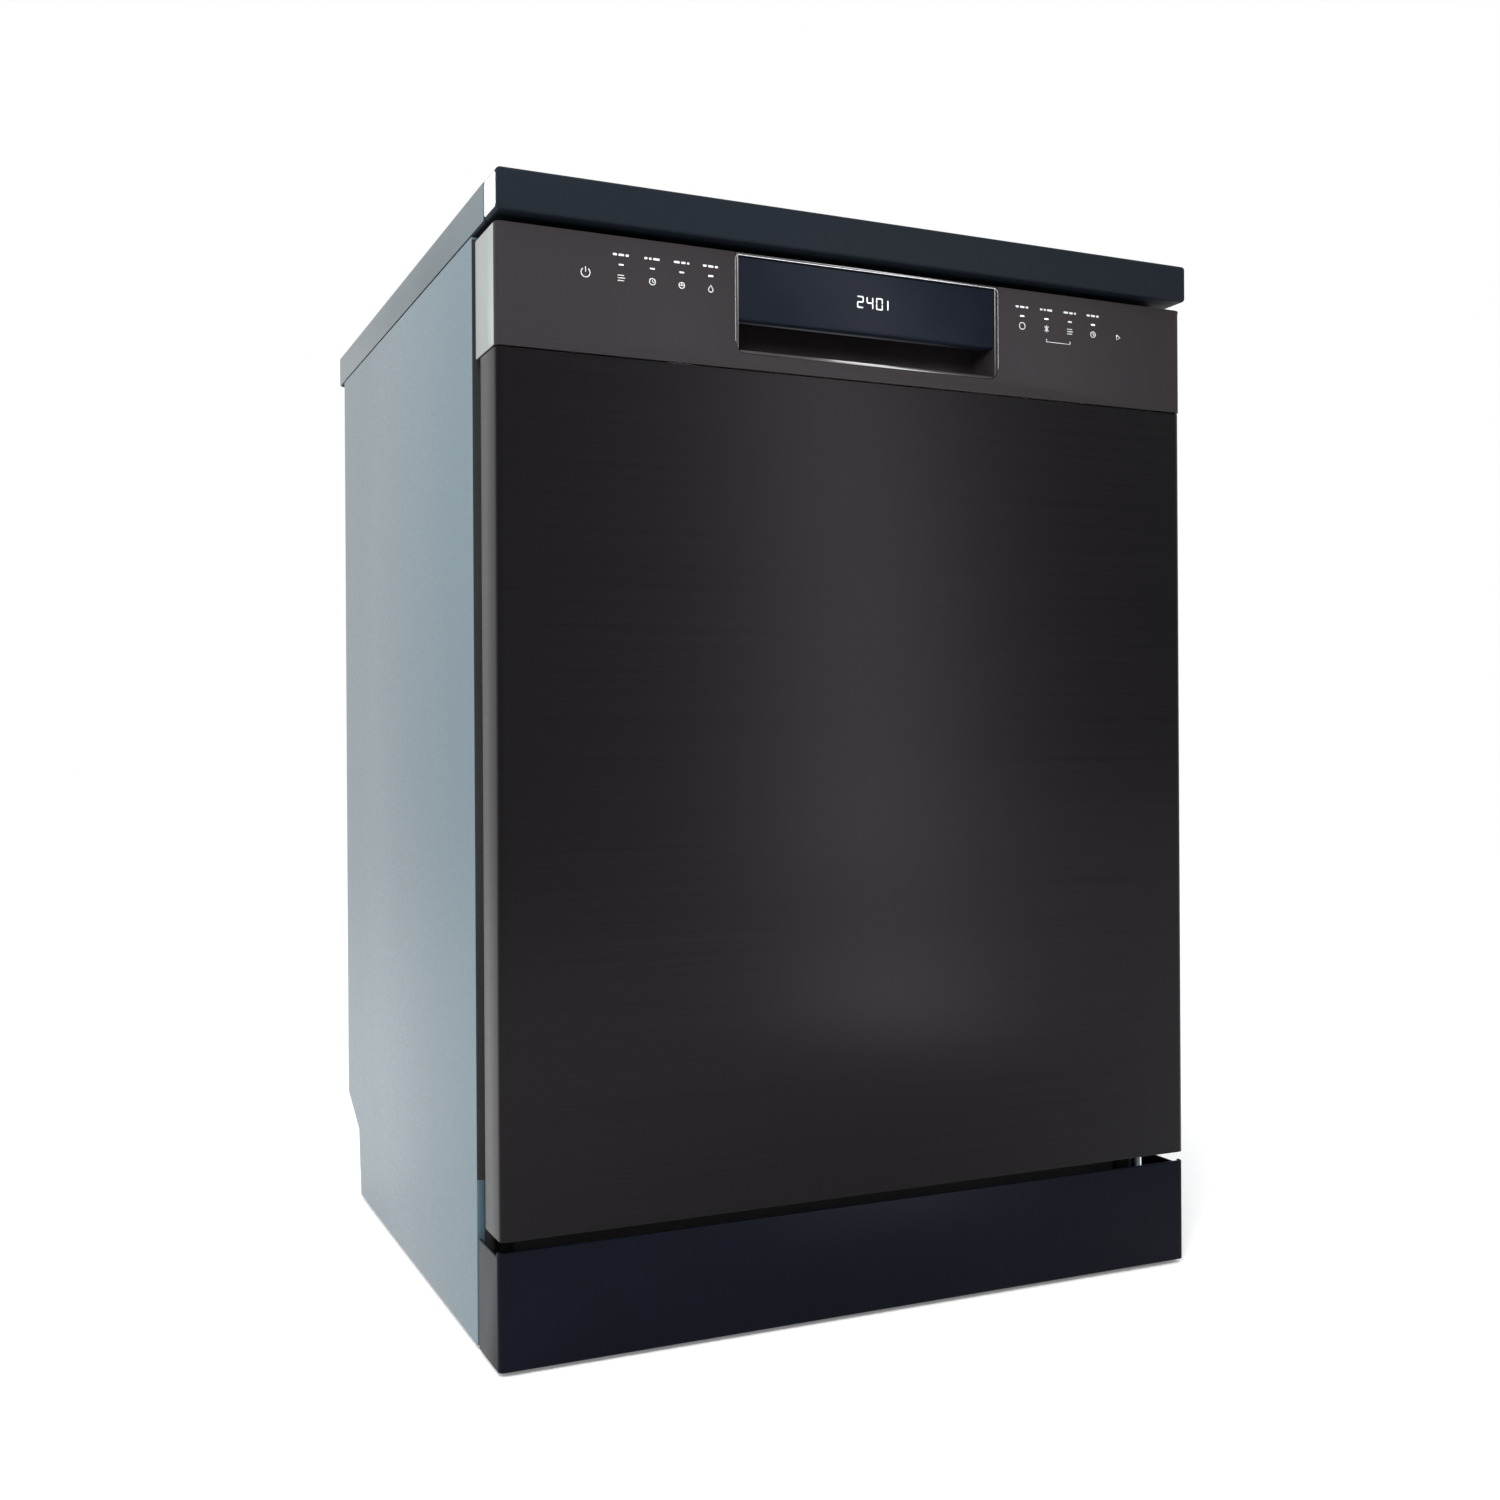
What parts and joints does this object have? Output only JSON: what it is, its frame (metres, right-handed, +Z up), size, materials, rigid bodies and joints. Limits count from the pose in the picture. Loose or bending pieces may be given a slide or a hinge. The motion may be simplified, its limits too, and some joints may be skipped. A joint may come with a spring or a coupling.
{
  "type": "built-in dishwasher",
  "caption": "Dishwasher with a worktop, drop-down door, grip pocket under a display bar, wire racks, spray arms and a stainless tub.",
  "frame": {"origin": "on the floor at the centre of the footprint", "axes": "+Z up; +X to the right of someone facing the door; the door faces -Y"},
  "size_m": [0.598, 0.6, 0.845],
  "materials": {
    "worktop_black": "laminated board, satin black",
    "cabinet_paint": "grey paint, soft gloss",
    "galvanised_steel": "zinc-coated sheet, dull",
    "base_plastic": "black moulded, matt",
    "foot_plastic": "black moulded, matt",
    "plinth_black": "black paint, gloss",
    "tub_steel": "stainless, fine brushed",
    "filter_steel": "stainless, perforated",
    "seal_rubber": "black, matt",
    "grey_moulding": "mid grey moulded, satin",
    "pump_casing": "dark grey moulded",
    "door_dark_steel": "dark stainless, brushed, clear-coated",
    "console_dark": "dark metallic, satin",
    "gloss_black": "piano black, polished",
    "circuit_board": "green board",
    "dispenser_plastic": "light grey moulded, satin",
    "rinse_cap_blue": "blue moulded, satin",
    "rack_coating": "grey coated wire, satin",
    "basket_plastic": "grey moulded, matt",
    "wheel_plastic": "grey moulded, satin"
  },
  "bodies": {
    "cabinet": {"worktop": "worktop_black", "worktop_front_trim": "worktop_black", "left_side_panel": "cabinet_paint", "right_side_panel": "cabinet_paint", "rear_panel": "galvanised_steel", "base_frame": "base_plastic", "kick_plate": "plinth_black", "tub_wrap": "tub_steel", "tub_back": "tub_steel", "tub_floor": "tub_steel", "tub_gasket": "seal_rubber", "lock_striker": "tub_steel", "sump": "grey_moulding", "filter_plate": "filter_steel", "spray_feed_tube": "grey_moulding", "wash_pump": "pump_casing", "drain_pump": "pump_casing", "water_softener": "grey_moulding", "inlet_valve": "grey_moulding", "mains_terminal_box": "grey_moulding", "left_hinge_bracket": "galvanised_steel", "right_hinge_bracket": "galvanised_steel", "left_door_spring": "galvanised_steel", "right_door_spring": "galvanised_steel"},
    "door": {"door_outer_panel": "door_dark_steel", "door_inner_liner": "tub_steel", "door_bottom_seal": "seal_rubber", "console": "console_dark", "handle_pocket": "gloss_black", "display_bar": "gloss_black", "control_board": "circuit_board", "dispenser_body": "dispenser_plastic", "door_lock": "grey_moulding", "left_hinge_arm": "galvanised_steel", "right_hinge_arm": "galvanised_steel"},
    "lower_rack_frame": {"lower_rack": "rack_coating", "cutlery_basket": "basket_plastic"},
    "upper_rack_frame": {"upper_rack": "rack_coating", "upper_spray_manifold": "grey_moulding"},
    "front_left_foot": {"front_left_foot": "foot_plastic"},
    "front_right_foot": {"front_right_foot": "foot_plastic"},
    "rear_left_foot": {"rear_left_foot": "foot_plastic"},
    "rear_right_foot": {"rear_right_foot": "foot_plastic"},
    "filter_cup": {"filter_cup": "grey_moulding"},
    "lower_spray_arm": {"lower_spray_arm": "grey_moulding"},
    "salt_cap": {"salt_cap": "grey_moulding"},
    "dispenser_lid": {"dispenser_lid": "dispenser_plastic"},
    "rinse_aid_cap": {"rinse_aid_cap": "rinse_cap_blue"},
    "lock_catch": {"lock_catch": "tub_steel"},
    "front_tine_row": {"front_tine_row": "rack_coating"},
    "rear_tine_row": {"rear_tine_row": "rack_coating"},
    "front_left_wheel": {"front_left_wheel": "wheel_plastic"},
    "front_right_wheel": {"front_right_wheel": "wheel_plastic"},
    "rear_left_wheel": {"rear_left_wheel": "wheel_plastic"},
    "rear_right_wheel": {"rear_right_wheel": "wheel_plastic"},
    "left_rack_rail": {"left_rack_rail": "tub_steel"},
    "right_rack_rail": {"right_rack_rail": "tub_steel"},
    "left_cup_shelf": {"left_cup_shelf": "rack_coating"},
    "right_cup_shelf": {"right_cup_shelf": "rack_coating"},
    "upper_spray_arm": {"upper_spray_arm": "grey_moulding"}
  },
  "joints": [
    {"name": "door_hinge", "type": "hinge", "parent": "cabinet", "child": "door", "pos_m": [0, -0.272, 0.11], "axis": [1, 0, 0], "range_deg": [0, 90], "stiffness_Nm_per_rad": 12, "deforming": ["left_door_spring", "right_door_spring"]},
    {"name": "lower_rack_slide", "type": "slide", "parent": "cabinet", "child": "lower_rack_frame", "axis": [0, -1, 0], "range_m": [0, 0.175]},
    {"name": "upper_rack_slide", "type": "slide", "parent": "cabinet", "child": "upper_rack_frame", "axis": [0, -1, 0], "range_m": [0, 0.442]},
    {"name": "left_rail_slide", "type": "slide", "parent": "cabinet", "child": "left_rack_rail", "axis": [0, -1, 0], "range_m": [0, 0.222]},
    {"name": "right_rail_slide", "type": "slide", "parent": "cabinet", "child": "right_rack_rail", "axis": [0, -1, 0], "range_m": [0, 0.222]},
    {"name": "front_left_wheel_spin", "type": "hinge", "parent": "lower_rack_frame", "child": "front_left_wheel", "pos_m": [-0.2575, -0.098, 0.1658], "axis": [1, 0, 0], "range_deg": [-1, 560]},
    {"name": "front_right_wheel_spin", "type": "hinge", "parent": "lower_rack_frame", "child": "front_right_wheel", "pos_m": [0.2575, -0.098, 0.1658], "axis": [1, 0, 0], "range_deg": [-1, 560]},
    {"name": "rear_left_wheel_spin", "type": "hinge", "parent": "lower_rack_frame", "child": "rear_left_wheel", "pos_m": [-0.2575, 0.165, 0.1658], "axis": [1, 0, 0], "range_deg": [-1, 560]},
    {"name": "rear_right_wheel_spin", "type": "hinge", "parent": "lower_rack_frame", "child": "rear_right_wheel", "pos_m": [0.2575, 0.165, 0.1658], "axis": [1, 0, 0], "range_deg": [-1, 560]},
    {"name": "front_tine_fold", "type": "hinge", "parent": "lower_rack_frame", "child": "front_tine_row", "pos_m": [0, 0, 0.2155], "axis": [-1, 0, 0], "range_deg": [0, 88]},
    {"name": "rear_tine_fold", "type": "hinge", "parent": "lower_rack_frame", "child": "rear_tine_row", "pos_m": [0, 0.108, 0.2155], "axis": [-1, 0, 0], "range_deg": [0, 88]},
    {"name": "left_shelf_fold", "type": "hinge", "parent": "upper_rack_frame", "child": "left_cup_shelf", "pos_m": [-0.231, 0, 0.54], "axis": [0, -1, 0], "range_deg": [0, 88]},
    {"name": "right_shelf_fold", "type": "hinge", "parent": "upper_rack_frame", "child": "right_cup_shelf", "pos_m": [0.231, 0, 0.54], "axis": [0, 1, 0], "range_deg": [0, 88]},
    {"name": "lower_arm_spin", "type": "hinge", "parent": "cabinet", "child": "lower_spray_arm", "pos_m": [0, 0.02, 0.158], "axis": [0, 0, 1], "continuous": true},
    {"name": "upper_arm_spin", "type": "hinge", "parent": "upper_rack_frame", "child": "upper_spray_arm", "pos_m": [0, 0, 0.4247], "axis": [0, 0, 1], "continuous": true},
    {"name": "filter_twist", "type": "hinge", "parent": "cabinet", "child": "filter_cup", "pos_m": [0, -0.044, 0.1323], "axis": [0, 0, 1], "range_deg": [0, 60]},
    {"name": "salt_cap_twist", "type": "hinge", "parent": "cabinet", "child": "salt_cap", "pos_m": [-0.135, 0.045, 0.131], "axis": [0, 0, 1], "range_deg": [0, 270]},
    {"name": "dispenser_lid_slide", "type": "slide", "parent": "door", "child": "dispenser_lid", "axis": [-1, 0, 0], "range_m": [0, 0.058]},
    {"name": "rinse_cap_twist", "type": "hinge", "parent": "door", "child": "rinse_aid_cap", "pos_m": [0.114, -0.231, 0.51325], "axis": [0, 1, 0], "range_deg": [0, 90]},
    {"name": "lock_catch_slide", "type": "slide", "parent": "door", "child": "lock_catch", "axis": [0, 0, -1], "range_m": [0, 0.0015], "stiffness_N_per_m": 120, "springref_m": -0.002},
    {"name": "front_left_foot_height", "type": "slide", "parent": "cabinet", "child": "front_left_foot", "axis": [0, 0, -1], "range_m": [0, 0.045]},
    {"name": "front_right_foot_height", "type": "slide", "parent": "cabinet", "child": "front_right_foot", "axis": [0, 0, -1], "range_m": [0, 0.045]},
    {"name": "rear_left_foot_height", "type": "slide", "parent": "cabinet", "child": "rear_left_foot", "axis": [0, 0, -1], "range_m": [0, 0.045]},
    {"name": "rear_right_foot_height", "type": "slide", "parent": "cabinet", "child": "rear_right_foot", "axis": [0, 0, -1], "range_m": [0, 0.045]}
  ],
  "couplings": [
    {"joint": "lower_rack_slide", "follows": "door_hinge", "m_per_rad": 0.11},
    {"joint": "upper_rack_slide", "follows": "door_hinge", "m_per_rad": 0.28},
    {"joint": "left_rail_slide", "follows": "door_hinge", "m_per_rad": 0.14},
    {"joint": "right_rail_slide", "follows": "door_hinge", "m_per_rad": 0.14},
    {"joint": "front_left_wheel_spin", "follows": "door_hinge", "ratio": 6.1111},
    {"joint": "front_right_wheel_spin", "follows": "door_hinge", "ratio": 6.1111},
    {"joint": "rear_left_wheel_spin", "follows": "door_hinge", "ratio": 6.1111},
    {"joint": "rear_right_wheel_spin", "follows": "door_hinge", "ratio": 6.1111}
  ]
}
